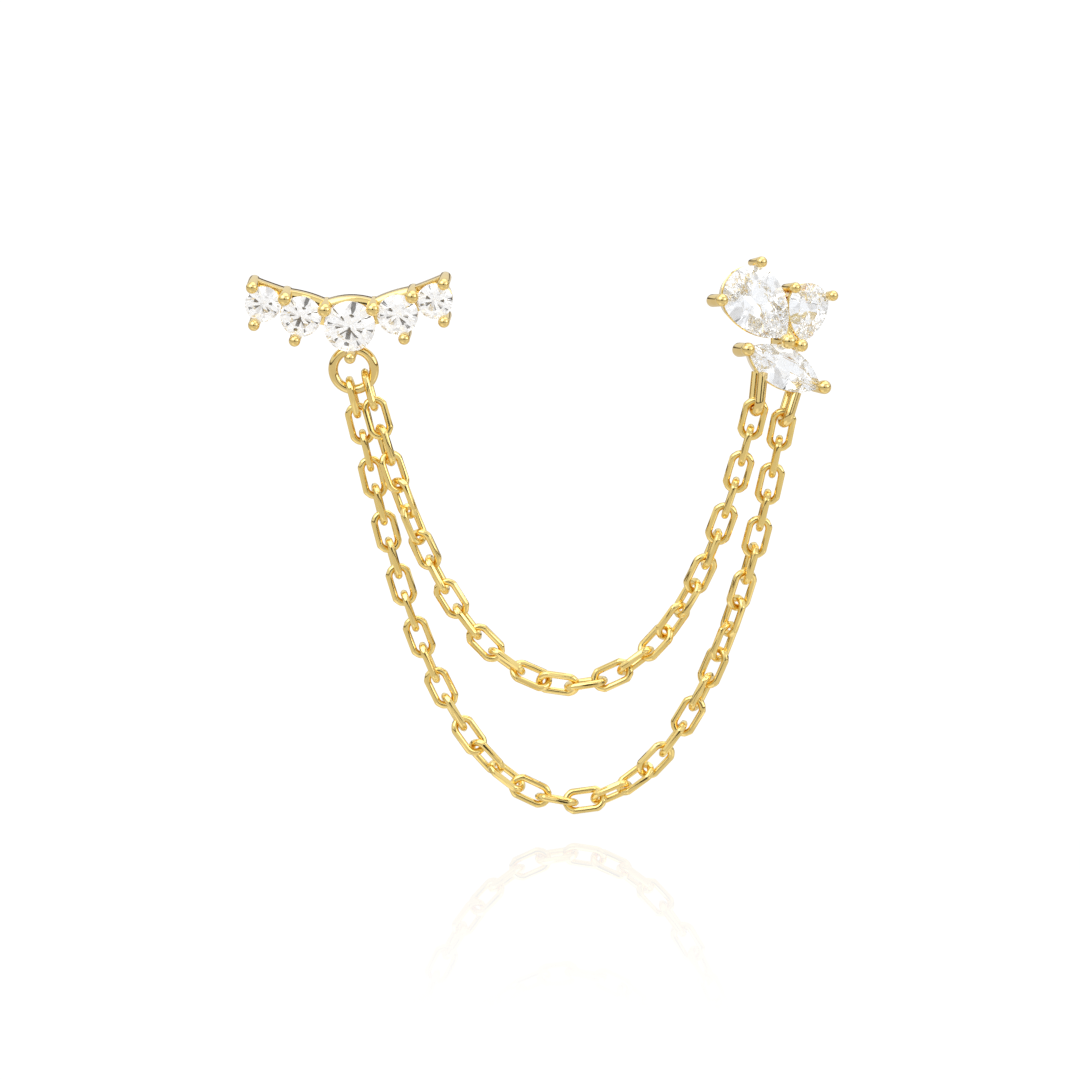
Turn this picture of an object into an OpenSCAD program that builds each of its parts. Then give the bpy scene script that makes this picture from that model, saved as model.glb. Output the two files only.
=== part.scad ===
// Ear chain earring: a bar stud of five round stones and a cluster stud of
// three fancy stones, joined by two cable chains of unequal length.
// Millimetres. +Z is up, -Y is the front, +X runs from the bar to the cluster.
// The origin is where the bar's ear post leaves its seat against the lobe.
// Each setting is drawn on a bench plane (XY is its face, +Z its front) and
// then stood up to face -Y.

/* [Metal] */
// Height of a setting from its back plane to the tips of its prongs
setting_h = 2.7; // [2.4:0.1:3.2]
// Height of the stones' girdles above the back plane
girdle_h = 1.95; // [1.8:0.05:2.1]
// Bottom of the collet walls above the back plane
collet_back_h = 0.3; // [0.25:0.01:0.35]
// Distance from the girdles down to the front rims of the collets
collet_drop = 0.38; // [0.34:0.01:0.42]
// Thickness of a collet wall
collet_wall = 0.3; // [0.25:0.01:0.35]
// Gap between each stone and the metal that holds it
stone_gap = 0.03; // [0.02:0.01:0.05]
// Radius of the gallery rods behind the stones
gallery_r = 0.16; // [0.12:0.01:0.2]

/* [Posts] */
// Diameter of both ear posts
post_d = 0.8; // [0.7:0.05:1.0]
// Length of both ear posts behind the back plane
post_len = 6.5; // [5:0.5:9]
// Radius of the soldered pad at the foot of each post
pad_r = 0.85; // [0.7:0.05:1.0]
// Thickness of the pads
pad_t = 0.5; // [0.4:0.05:0.6]

/* [Bar stud] */
// Height of the middle stone above the ear post
bar_rise = 0.68; // [0.66:0.01:0.7]
// Roll of the bar in its own plane, right end up, in degrees
bar_roll = 1.6; // [0:0.1:3]
// Height of the bar's prongs' feet above the back plane
bar_prong_foot = 0.4; // [0.2:0.05:0.5]
// Size of the bar's collets at their backs, as a share of their fronts
bar_back_f = 0.87; // [0.85:0.01:0.95]
// Mean radius of the jump ring soldered under the bar
ring_r = 1.0; // [0.95:0.01:1.05]
// Radius of the jump ring's wire
ring_wire_r = 0.24; // [0.2:0.01:0.26]
// Sideways place of the jump ring's centre
ring_x = 0.12; // [0.05:0.01:0.18]
// Distance from the middle stone's centre down to the jump ring's centre
ring_drop = 2.35; // [2.33:0.01:2.37]
// Depth of the jump ring's plane in front of the back plane
ring_depth = 0.8; // [0.7:0.05:0.9]

/* [Cluster stud] */
// Turn of the cluster towards the right, in degrees
cluster_turn = 18; // [14:1:22]
// Height of the cluster's prongs' feet above the back plane
cluster_prong_foot = 0.7; // [0.4:0.05:0.8]
// Size of the cluster's collets at their backs, as a share of their fronts
cluster_back_f = 0.8; // [0.78:0.01:0.9]
// Width of the large pear stone
pear_large_w = 3.0; // [2.8:0.1:3.1]
// Length of the large pear stone
pear_large_l = 4.1; // [3.9:0.1:4.2]
// Width of the small pear stone
pear_small_w = 2.0; // [1.8:0.1:2.1]
// Length of the small pear stone
pear_small_l = 2.9; // [2.8:0.1:3.0]
// Width of the marquise stone
marquise_w = 2.0; // [1.8:0.1:2.1]
// Length of the marquise stone
marquise_l = 4.15; // [3.95:0.1:4.25]
// Radius of the wire of the two chain loops
loop_wire_r = 0.25; // [0.2:0.01:0.26]
// Distance between the two limbs of a chain loop, centre to centre
loop_w = 1.0; // [0.9:0.05:1.1]

/* [Chains] */
// Diameter of the links' wire
wire_d = 0.28; // [0.26:0.01:0.3]
// Outer length of a link
link_l = 2.16; // [2.15:0.01:2.18]
// Outer width of a link
link_w = 1.28; // [1.26:0.01:1.32]
// Spacing of the links along a chain
link_pitch = 1.372; // [1.36:0.001:1.38]
// Number of links in the short inner chain
inner_links = 27; // [27:1:27]
// Number of links in the long outer chain
outer_links = 35; // [35:1:35]

/* [Hidden] */
// The cluster leans back by this angle and is swung a little about the
// vertical, as it sits higher on the ear's curve than the bar
cluster_lean = 12;
cluster_swing = 3;
// Back plane centre of the cluster, measured from the bar's seat
cluster_pos = [19.99, 1.11, 0.71];
// Foot of the cluster's ear post on its bench plane
cluster_post_at = [0.5, 0.6];

post_r = post_d / 2;
post_sink = 0.3;
collet_front_h = girdle_h - collet_drop;
gallery_h = 0.3;
gallery_start = 1.5 * gallery_r;
boss_r = 0.34;
boss_half_h = 0.24;
round_fn = 48;

// Round brilliant proportions, as fractions of the half width
crown_h = 0.30;
pavilion_h = 0.84;
girdle_t = 0.05;
table_f = 0.56;
star_f = 0.78;
lower_f = 0.24;
mains = 8;

// The bar's stones from left to right:
//   x, y from the middle stone, diameter
BAR_STONES = [
    [-4.19, 1.19, 1.75],
    [-2.36, 0.54, 2.00],
    [ 0.00, 0.00, 2.50],
    [ 2.36, 0.54, 2.00],
    [ 4.19, 1.19, 1.75],
];

// The bar's prongs right of its middle, mirrored to the left:
//   x, y from the middle stone, radius
BAR_PRONGS = [
    [1.175, 0.913, 0.34],
    [3.100, 1.500, 0.34],
    [4.660, 2.100, 0.30],
    [2.670, -0.570, 0.285],
    [4.630, 0.240, 0.285],
];
BAR_FOOT_PRONG = [0, -1.47, 0.285];

// The cluster's stones: x, y of the round or middle point, turn of the axis
PEAR_LARGE_AT = [-1.18, 1.02, -49.5];
PEAR_SMALL_AT = [1.72, 0.68, -99.5];
MARQUISE_AT = [0.46, -2.46, -27.3];

// The cluster's prongs: x, y, radius
CLUSTER_PRONGS = [
    [-0.88, 2.68, 0.28],
    [-2.90, 0.82, 0.32],
    [ 0.57, -1.16, 0.39],
    [ 0.86, 1.44, 0.27],
    [ 2.79, 1.06, 0.26],
    [ 1.19, -1.36, 0.32],
    [-1.55, -1.57, 0.34],
    [ 2.37, -3.39, 0.34],
];

// The chain loops: x, y of the bottom of the wire, lean in degrees, limb length
CLUSTER_LOOPS = [
    [-0.74, -4.57, 6, 1.45],
    [ 0.70, -5.11, 18, 1.05],
];
loop_depth = 1.15;

// How each chain hangs: catenary size, x and z of its lowest point, arc from
// that point back to its first link, lean, gather towards the ring and its
// reach, depth at the cluster end, swell in depth and where it peaks
INNER_HANG = [4.43, 10.72, -17.91, 18.45, 0.02, 0.07, 2.4, -1.0, -0.46, 5.0];
OUTER_HANG = [4.35, 10.76, -23.83, 24.05, 0.00, 0.16, 2.9, -0.6, 0.27, 3.8];

// Twist of each chain along its length: link number from the cluster, degrees
INNER_TWIST = [[1, 0], [5, 0], [9, 38], [13, 90], [17, 180], [20, 185], [24, 237], [27, 270]];
OUTER_TWIST = [[1, 0], [5, 5], [9, 50], [13, 90], [17, 160], [19, 180], [22, 240], [24, 270],
    [30, 255], [35, 270]];

// Sides of a link's wire, and points round each of its two ends
wire_sides = 6;
end_points = 6;

// Vector helpers
function unit(v) = v / norm(v);
function asinh(x) = ln(x + sqrt(x * x + 1));
function smooth(t) = t * t * (3 - 2 * t);

// Outlines: lists of points round a stone's girdle, counter-clockwise from +X

// Radius of the arc that spans half length a with rise b
function arc_radius(a, b) = (a * a + b * b) / (2 * b);

// Point on that arc at fraction t of the way from the shoulder to the tip
function arc_point(a, b, t) =
    let(r = arc_radius(a, b), ang = t * asin(a / r))
    [r * sin(ang), r * cos(ang) - (r - b)];

function round_outline(d, n) = [for (i = [0:n - 1]) d / 2 * [cos(360 * i / n), sin(360 * i / n)]];

// Pear with its round part's centre at the origin and its tip on +X
function pear_outline(w, l, n) =
    let(q = n / 4, tip = l - w / 2)
    [for (i = [0:n - 1])
        i <= q ? arc_point(tip, w / 2, 1 - i / q)
        : i < 3 * q ? w / 2 * [cos(90 + 180 * (i - q) / (2 * q)), sin(90 + 180 * (i - q) / (2 * q))]
        : let(p = arc_point(tip, w / 2, (i - 3 * q) / q)) [p[0], -p[1]]];

// Marquise with its middle at the origin and its tips on the X axis
function marquise_outline(w, l, n) =
    let(q = n / 4)
    [for (i = [0:n - 1])
        let(side = i < 2 * q ? 1 : -1,
            t = i < 2 * q ? (q - i) / q : (i - 3 * q) / q,
            p = arc_point(l / 2, w / 2, abs(t)))
        [sign(t) * p[0], side * p[1]]];

// Outline moved outwards by gap g, for points seen from the origin
function grown(pts, g) = [for (p = pts) p * (1 + g / norm(p))];

// Brilliant-cut stone on the bench plane: girdle top at z = 0, table up.
// The outline has 16 points; the even ones carry the main facets.
module brilliant(outline, half_w) {
    c = cos(180 / mains);
    n = 2 * mains;
    zc = crown_h * half_w;
    zp = -pavilion_h * half_w;
    zg = -girdle_t * half_w;
    z_star = zc * (1 - star_f * c) / (1 - table_f);
    z_low = zg + (zp - zg) * (1 - lower_f * c);
    at = function(p, f, z) [p[0] * f, p[1] * f, z];
    pts = concat(
        [for (k = [0:mains - 1]) at(outline[2 * k], table_f, zc)],
        [for (k = [0:mains - 1]) at(outline[2 * k + 1], star_f, z_star)],
        [for (j = [0:n - 1]) at(outline[j], 1, 0)],
        [for (j = [0:n - 1]) at(outline[j], 1, zg)],
        [for (k = [0:mains - 1]) at(outline[2 * k + 1], lower_f, z_low)],
        [[0, 0, zp]]);
    star = mains;
    top = 2 * mains;
    low = top + n;
    mid = low + n;
    tip = mid + mains;
    next = function(i, m) (i + 1) % m;
    prev = function(i, m) (i + m - 1) % m;
    faces = concat(
        [[for (k = [0:mains - 1]) mains - 1 - k]],
        [for (k = [0:mains - 1]) [next(k, mains), star + k, k]],
        [for (k = [0:mains - 1]) each [[k, star + k, top + 2 * k], [k, top + 2 * k, star + prev(k, mains)]]],
        [for (k = [0:mains - 1]) each [
            [star + k, top + 2 * k + 1, top + 2 * k],
            [star + k, top + next(2 * k + 1, n), top + 2 * k + 1]]],
        [for (j = [0:n - 1]) each [
            [top + j, top + next(j, n), low + next(j, n)],
            [top + j, low + next(j, n), low + j]]],
        [for (k = [0:mains - 1]) each [
            [low + 2 * k, low + 2 * k + 1, mid + k],
            [low + 2 * k + 1, low + next(2 * k + 1, n), mid + k]]],
        [for (k = [0:mains - 1]) each [
            [low + 2 * k, mid + k, tip],
            [low + 2 * k, tip, mid + prev(k, mains)]]]);
    polyhedron(pts, faces);
}

// Prong: a round wire with domed ends, from its foot to its bead
module prong(r, foot) {
    steps = 5;
    dome = [for (i = [0:steps]) r * [cos(90 * i / steps), sin(90 * i / steps)]];
    profile = concat(
        [for (i = [0:steps]) [dome[steps - i][0], foot + r - dome[steps - i][1]]],
        [for (i = [0:steps]) [dome[i][0], setting_h - r + dome[i][1]]]);
    rotate_extrude($fn = round_fn) polygon(profile);
}

// Round collet: a short tube under a round stone, narrower at its back
module round_collet(d) {
    outer = d / 2 - stone_gap / 2;
    inner = outer - collet_wall;
    rotate_extrude($fn = round_fn)
        polygon([[inner * bar_back_f, collet_back_h], [outer * bar_back_f, collet_back_h],
            [outer, collet_front_h], [inner, collet_front_h]]);
}

// Seat cut for a round stone: a band at the girdle with a cone on each side
module round_seat(d) {
    r = d / 2 + stone_gap;
    depth = pavilion_h * d / 2 + 2 * stone_gap;
    band = 2 * stone_gap;
    bevel = 0.2 * r;
    rotate_extrude($fn = round_fn)
        polygon([[0, girdle_h - depth], [r, girdle_h - 3 * stone_gap], [r, girdle_h + band],
            [r - bevel, girdle_h + band + bevel], [0, girdle_h + band + bevel]]);
}

// Shaped collet: the wall under a pear or marquise stone, narrower at its back
module shaped_collet(outline) {
    translate([0, 0, collet_back_h])
        linear_extrude(collet_front_h - collet_back_h, scale = 1 / cluster_back_f)
            difference() {
                polygon(outline * cluster_back_f);
                polygon(grown(outline, -collet_wall) * cluster_back_f);
            }
}

// Seat cut for a shaped stone: a band round its girdle, then steps that
// narrow with its pavilion
module shaped_seat(outline, half_w) {
    step = 0.25;
    above = 0.2;
    lap = 0.1;
    translate([0, 0, girdle_h - step])
        linear_extrude(step + above) polygon(grown(outline, 2 * stone_gap));
    for (k = [1, 2]) {
        share = 1 - (k * step - girdle_t * half_w) / ((pavilion_h - girdle_t) * half_w);
        translate([0, 0, girdle_h - (k + 1) * step])
            linear_extrude(step + lap) polygon(grown([for (p = outline) p * share], 2 * stone_gap));
    }
}

// Gallery rod across the open backs of the collets, from a past b by a stretch.
// It starts a little way from a, where a pad or a boss holds its end.
module gallery_rod(a, b, past) {
    d = b - a;
    translate([a[0], a[1], gallery_h])
        rotate([0, 0, atan2(d[1], d[0])])
            rotate([0, 90, 0])
                translate([0, 0, gallery_start])
                    cylinder(h = norm(d) + past - gallery_start, r = gallery_r, $fn = round_fn);
}

// Boss where two gallery rods meet
module gallery_boss() {
    translate([0, 0, gallery_h - boss_half_h])
        cylinder(h = 2 * boss_half_h, r = boss_r, $fn = round_fn);
}

// Reach of a gallery rod past a stone's middle, into the far wall of its
// collet, whose back is narrower than its front by share f
function far_wall(half_w, f) = (half_w - collet_wall / 2) * f;

// Ear post with its soldered pad
module post() {
    cylinder(h = pad_t, r = pad_r, $fn = round_fn);
    translate([0, 0, -post_len])
        cylinder(h = post_len + post_sink, r = post_r, $fn = round_fn);
}

// Wire loop for a chain: two limbs joined by a half ring, open upwards
module chain_loop(limb) {
    half = loop_w / 2;
    translate([0, half, 0]) {
        rotate([180, 0, 0]) rotate([0, 90, 0])
            rotate_extrude(angle = 180, $fn = round_fn)
                translate([half, 0]) circle(loop_wire_r, $fn = round_fn);
        for (s = [-1, 1])
            translate([0, 0, s * half]) rotate([-90, 0, 0])
                cylinder(h = limb, r = loop_wire_r, $fn = round_fn);
    }
}

// Stands a bench-plane shape up so that its front faces -Y
module stood() {
    rotate([90, 0, 0]) children();
}

// Places a bench-plane shape of the cluster beside the bar
module in_cluster() {
    translate(cluster_pos)
        rotate([0, 0, cluster_swing]) rotate([-cluster_lean, 0, 0]) rotate([0, 0, cluster_turn])
            stood() children();
}

// Places a bench-plane shape of the bar, measured from its middle stone
module in_bar() {
    stood() translate([0, bar_rise, 0]) rotate([0, 0, bar_roll]) children();
}

// Places a stone's or collet's bench-plane shape by its table row
module placed(row) {
    translate([row[0], row[1], 0]) rotate([0, 0, row[2]]) children();
}

module bar_setting() {
    color("gold") {
        in_bar()
            difference() {
                union() {
                    for (s = BAR_STONES) translate([s[0], s[1], 0]) round_collet(s[2]);
                    for (p = BAR_PRONGS, side = [-1, 1])
                        translate([side * p[0], p[1], 0]) prong(p[2], bar_prong_foot);
                    translate([BAR_FOOT_PRONG[0], BAR_FOOT_PRONG[1], 0])
                        prong(BAR_FOOT_PRONG[2], bar_prong_foot);
                    gallery_boss();
                    for (side = [-1, 1]) {
                        middle = BAR_STONES[2];
                        near = BAR_STONES[2 + side];
                        end = BAR_STONES[2 + 2 * side];
                        gallery_rod([middle[0], middle[1]], [near[0], near[1]], -gallery_start);
                        translate([near[0], near[1], 0]) gallery_boss();
                        gallery_rod([near[0], near[1]], [end[0], end[1]], far_wall(end[2] / 2, bar_back_f));
                    }
                }
                for (s = BAR_STONES) translate([s[0], s[1], 0]) round_seat(s[2]);
            }
        stood() post();
        stood() translate([ring_x, bar_rise - ring_drop, ring_depth])
            rotate_extrude($fn = round_fn)
                translate([ring_r, 0]) circle(ring_wire_r, $fn = round_fn);
    }
}

module bar_stone(i) {
    s = BAR_STONES[i];
    color("white")
        in_bar() translate([s[0], s[1], girdle_h]) brilliant(round_outline(s[2], 16), s[2] / 2);
}

module cluster_setting() {
    large = pear_outline(pear_large_w, pear_large_l, 32);
    small = pear_outline(pear_small_w, pear_small_l, 32);
    lens = marquise_outline(marquise_w, marquise_l, 32);
    rims = [
        [PEAR_LARGE_AT, large, pear_large_w / 2],
        [PEAR_SMALL_AT, small, pear_small_w / 2],
        [MARQUISE_AT, lens, marquise_w / 2],
    ];
    color("gold")
        in_cluster()
            difference() {
                union() {
                    for (r = rims) placed(r[0]) shaped_collet(r[1]);
                    for (p = CLUSTER_PRONGS)
                        translate([p[0], p[1], 0]) prong(p[2], cluster_prong_foot);
                    for (r = rims)
                        gallery_rod(cluster_post_at, [r[0][0], r[0][1]], far_wall(r[2], cluster_back_f));
                    translate([cluster_post_at[0], cluster_post_at[1], 0]) post();
                    for (l = CLUSTER_LOOPS)
                        translate([l[0], l[1], loop_depth]) rotate([0, 0, -l[2]]) chain_loop(l[3]);
                }
                for (r = rims) placed(r[0]) shaped_seat(r[1], r[2]);
            }
}

module cluster_stone(row, outline, half_w) {
    color("white")
        in_cluster() translate([0, 0, girdle_h]) placed(row) brilliant(outline, half_w);
}

module pear_large() {
    cluster_stone(PEAR_LARGE_AT, pear_outline(pear_large_w, pear_large_l, 16), pear_large_w / 2);
}

module pear_small() {
    cluster_stone(PEAR_SMALL_AT, pear_outline(pear_small_w, pear_small_l, 16), pear_small_w / 2);
}

module marquise() {
    cluster_stone(MARQUISE_AT, marquise_outline(marquise_w, marquise_l, 16), marquise_w / 2);
}

// Centre of link i of a chain, counted from the ring
function hang_point(h, count, i) =
    let(size = h[0], travel = i * link_pitch, arc = travel - h[3],
        rise = sqrt(size * size + arc * arc) - size,
        swell = travel / h[9] * exp(1 - travel / h[9]))
    [h[1] + size * asinh(arc / size) - h[4] * rise - h[5] * exp(-travel / h[6]),
        -ring_depth + (h[7] + ring_depth) * smooth(i / (count - 1)) + h[8] * swell,
        bar_rise + h[2] + rise];

// Direction of the chain at link i
function hang_dir(pts, i) =
    let(last = len(pts) - 1)
    unit(pts[min(i + 1, last)] - pts[max(i - 1, 0)]);

// One link: a racetrack loop of wire in the plane of axis and side
module link(centre, axis, side) {
    across = cross(axis, side);
    r = wire_d / 2;
    end_r = (link_w - wire_d) / 2;
    straight = (link_l - link_w) / 2;
    n = 2 * end_points;
    ring_pts = [for (j = [0:n - 1])
        let(upper = j < end_points,
            ang = 180 * (upper ? j : j - end_points) / (end_points - 1) + (upper ? 0 : 180),
            out = cos(ang) * side + sin(ang) * axis,
            mid = centre + end_r * out + (upper ? straight : -straight) * axis)
        each [for (k = [0:wire_sides - 1])
            mid + r * (cos(360 * k / wire_sides) * out + sin(360 * k / wire_sides) * across)]];
    at = function(j, k) (j % n) * wire_sides + k % wire_sides;
    polyhedron(ring_pts, [for (j = [0:n - 1], k = [0:wire_sides - 1])
        each [[at(j, k), at(j + 1, k + 1), at(j, k + 1)], [at(j, k), at(j + 1, k), at(j + 1, k + 1)]]]);
}

// A whole chain: links along its hang, every other one turned by 90 degrees
module chain(hang, twist, count) {
    pts = [for (i = [0:count - 1]) hang_point(hang, count, i)];
    for (i = [0:count - 1]) {
        number = count - i;
        axis = hang_dir(pts, i);
        level = unit(cross([0, 1, 0], axis));
        turn = lookup(number, twist) + (number % 2 == 0 ? 90 : 0);
        link(pts[i], axis, cos(turn) * level + sin(turn) * cross(axis, level));
    }
}

module chain_inner() {
    color("gold") chain(INNER_HANG, INNER_TWIST, inner_links);
}

module chain_outer() {
    color("gold") chain(OUTER_HANG, OUTER_TWIST, outer_links);
}

bar_setting();
bar_stone(0);  // bar_stone_1
bar_stone(1);  // bar_stone_2
bar_stone(2);  // bar_stone_3
bar_stone(3);  // bar_stone_4
bar_stone(4);  // bar_stone_5
cluster_setting();
pear_large();
pear_small();
marquise();
chain_inner();
chain_outer();
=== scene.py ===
"""Looks of the ear chain earring: cut stones, prong settings and diamond-cut cable chains.

Each setting is drawn on a bench plane in millimetres, with XY as its face and
+Z as its front, and is then set in the frame, in metres, facing -Y.
"""

import logging
import math
from contextlib import contextmanager
from dataclasses import dataclass, replace
from enum import Enum
from typing import Any, Callable, Iterator, Sequence

import bmesh
import bpy
import numpy as np
from mathutils import Matrix, Vector


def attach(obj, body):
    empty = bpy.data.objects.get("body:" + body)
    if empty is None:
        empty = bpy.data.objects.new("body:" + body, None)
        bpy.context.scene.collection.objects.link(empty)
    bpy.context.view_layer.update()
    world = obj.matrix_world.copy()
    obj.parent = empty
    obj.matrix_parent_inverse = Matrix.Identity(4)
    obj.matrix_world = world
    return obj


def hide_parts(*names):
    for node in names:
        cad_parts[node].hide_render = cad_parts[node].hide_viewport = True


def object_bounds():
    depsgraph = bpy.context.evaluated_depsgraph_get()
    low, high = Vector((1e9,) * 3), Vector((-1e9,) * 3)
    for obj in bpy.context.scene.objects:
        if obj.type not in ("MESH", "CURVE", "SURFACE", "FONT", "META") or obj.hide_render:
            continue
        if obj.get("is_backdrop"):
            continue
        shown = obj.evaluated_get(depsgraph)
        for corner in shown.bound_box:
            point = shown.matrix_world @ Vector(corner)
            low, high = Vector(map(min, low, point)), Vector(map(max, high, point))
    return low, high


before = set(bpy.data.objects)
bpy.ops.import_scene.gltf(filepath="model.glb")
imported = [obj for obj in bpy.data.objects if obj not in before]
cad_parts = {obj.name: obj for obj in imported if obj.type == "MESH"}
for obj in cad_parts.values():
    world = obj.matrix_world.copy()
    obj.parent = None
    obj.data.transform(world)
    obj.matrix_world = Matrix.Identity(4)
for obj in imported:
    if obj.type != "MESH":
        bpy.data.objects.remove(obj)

LOG = logging.getLogger("ear_chain")
MM = 0.001
BODY = "root"
SHARP_EDGE = 40
# How near two points lie to count as one, and how near a cut, in millimetres.
TOUCH = 1e-4
CUT_REACH = 1e-5

Ring = tuple[float, float]
Point = tuple[float, float]
Spot = tuple[float, float, float]
Colour = tuple[float, float, float, float]
Test = Callable[[Vector], bool]
Piece = bpy.types.Object
Finish = bpy.types.Material


# --- Handwork: the operators that every piece is made with ---


class Hand:
    """Modelling moves, each a few operators in a row on one object."""

    @staticmethod
    def take(*pieces: Piece) -> Piece:
        """Selects only the given pieces and makes the first one active.

        Args:
            pieces: The objects to select.

        Returns:
            The active object.
        """
        bpy.ops.object.select_all(action="DESELECT")
        for piece in pieces:
            piece.select_set(True)
        bpy.context.view_layer.objects.active = pieces[0]
        return pieces[0]

    @staticmethod
    @contextmanager
    def editing(piece: Piece) -> Iterator[Piece]:
        """Holds a piece in edit mode for a block of moves, with all of it selected.

        Args:
            piece: The object to edit.

        Yields:
            The same object.
        """
        Hand.take(piece)
        bpy.ops.object.mode_set(mode="EDIT")
        bpy.ops.mesh.select_mode(type="VERT")
        bpy.ops.mesh.select_all(action="SELECT")
        yield piece
        bpy.ops.object.mode_set(mode="OBJECT")

    @staticmethod
    def pick(piece: Piece, test: Test) -> None:
        """Selects the vertices that pass a test, and the edges and faces between them.

        Args:
            piece: The object in edit mode.
            test: Says of a vertex's place whether it is selected.
        """
        mesh = bmesh.from_edit_mesh(piece.data)
        for vert in mesh.verts:
            vert.select_set(False)
        for vert in mesh.verts:
            if test(vert.co):
                vert.select_set(True)
        mesh.select_flush(True)
        bmesh.update_edit_mesh(piece.data)

    @staticmethod
    def raise_rings(rings: Sequence[Ring], middle: Vector) -> None:
        """Extrudes the selected end of a shape from ring to ring.

        Args:
            rings: Size and height of each ring. The first is the selection as it is.
            middle: The centre that the rings are sized about.
        """
        size, height = rings[0]
        for new_size, new_height in rings[1:]:
            bpy.ops.mesh.extrude_region_move(
                TRANSFORM_OT_translate={"value": (0, 0, new_height - height)}
            )
            factor = new_size / size
            bpy.ops.transform.resize(
                value=(factor, factor, 1), center_override=(middle.x, middle.y, new_height)
            )
            size, height = new_size, new_height

    @staticmethod
    def sliced(point: Vector, normal: Vector) -> None:
        """Cuts the whole edited shape flat along a plane.

        Args:
            point: A point of the plane.
            normal: Direction of the side that is cut away.
        """
        bpy.ops.mesh.select_all(action="SELECT")
        bpy.ops.mesh.bisect(
            plane_co=point, plane_no=normal, use_fill=True, clear_outer=True, threshold=CUT_REACH
        )

    @staticmethod
    def heal(piece: Piece, reach: float = TOUCH) -> Piece:
        """Merges doubled points and turns all faces outwards.

        Args:
            piece: The object to mend.
            reach: Distance under which points are merged.

        Returns:
            The same object.
        """
        with Hand.editing(piece):
            bpy.ops.mesh.remove_doubles(threshold=reach)
            bpy.ops.mesh.normals_make_consistent(inside=False)
        return piece

    @staticmethod
    def settled() -> Piece:
        """Applies the active object's place, turn and size, and returns it."""
        bpy.ops.object.transform_apply(location=True, rotation=True, scale=True)
        return bpy.context.object

    @staticmethod
    def turned(at: Point, rings: Sequence[Ring], sides: int = 40) -> Piece:
        """Raises a round solid from its rings, as on a lathe.

        Args:
            at: The axis on the bench plane.
            rings: Radius and height of each ring, from the bottom up.
            sides: Number of sides.

        Returns:
            The closed solid.
        """
        first, low = rings[0]
        bpy.ops.mesh.primitive_circle_add(
            vertices=sides, radius=first, fill_type="NGON", location=(at[0], at[1], low)
        )
        piece = Hand.settled()
        with Hand.editing(piece):
            Hand.raise_rings(rings, Vector((at[0], at[1], 0)))
        return Hand.heal(piece)

    @staticmethod
    def bevelled(piece: Piece, width: float) -> Piece:
        """Rounds the sharp edges of a piece with an applied Bevel modifier.

        Args:
            piece: The object to round.
            width: Width of the bevel.

        Returns:
            The same object.
        """
        Hand.take(piece)
        bevel = piece.modifiers.new("edge", "BEVEL")
        bevel.width, bevel.segments = width, 2
        bevel.limit_method, bevel.angle_limit = "ANGLE", math.radians(SHARP_EDGE)
        bpy.ops.object.modifier_apply(modifier=bevel.name)
        return piece

    @staticmethod
    def carved(piece: Piece, cutters: Sequence[Piece]) -> Piece:
        """Cuts seats into a piece with applied Boolean modifiers.

        The faces of a cut take the cutter's finish.

        Args:
            piece: The object to cut.
            cutters: The shapes to take away. Those that don't reach the piece are passed over.

        Returns:
            The same object.
        """
        for cutter in cutters:
            if not Hand.boxes_meet(piece, cutter):
                continue
            Hand.take(piece)
            cut = piece.modifiers.new("seat", "BOOLEAN")
            cut.operation, cut.solver, cut.object = "DIFFERENCE", "EXACT", cutter
            cut.material_mode = "TRANSFER"
            bpy.ops.object.modifier_apply(modifier=cut.name)
        return piece

    @staticmethod
    def boxes_meet(one: Piece, two: Piece) -> bool:
        """Says whether the boxes of two unmoved pieces overlap."""
        a, b = np.array(one.bound_box), np.array(two.bound_box)
        return bool((a.min(0) < b.max(0)).all() and (b.min(0) < a.max(0)).all())

    @staticmethod
    def copied(piece: Piece) -> Piece:
        """Copies a piece with a mesh of its own.

        Args:
            piece: The object to copy.

        Returns:
            The copy.
        """
        twin = piece.copy()
        twin.data = piece.data.copy()
        bpy.context.collection.objects.link(twin)
        return twin

    @staticmethod
    def placed(piece: Piece, place: Matrix) -> Piece:
        """Moves a piece by a matrix and applies it, so its object stays at the origin.

        Args:
            piece: The object to move.
            place: Where it goes.

        Returns:
            The same object.
        """
        Hand.take(piece)
        piece.matrix_world = place @ piece.matrix_world
        bpy.context.view_layer.update()
        return Hand.settled()

    @staticmethod
    def joined(name: str, parts: Sequence[Piece]) -> Piece:
        """Joins parts into one piece.

        Args:
            name: The piece's name.
            parts: The objects to join.

        Returns:
            The piece.
        """
        piece = Hand.take(*parts)
        if len(parts) > 1:
            bpy.ops.object.join()
        piece.name = piece.data.name = name
        return piece

    @staticmethod
    def smoothed(piece: Piece, angle: float) -> Piece:
        """Shades a piece smooth but for its sharp edges.

        Args:
            piece: The object to shade.
            angle: Edges sharper than this, in degrees, stay sharp.

        Returns:
            The same object.
        """
        Hand.take(piece)
        bpy.ops.object.shade_smooth_by_angle(angle=math.radians(angle))
        return piece

    @staticmethod
    def drop(*pieces: Piece) -> None:
        """Throws away cutters and patterns that aren't needed any more."""
        for piece in pieces:
            bpy.data.objects.remove(piece, do_unlink=True)


# --- Shader maths and finishes ---


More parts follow.
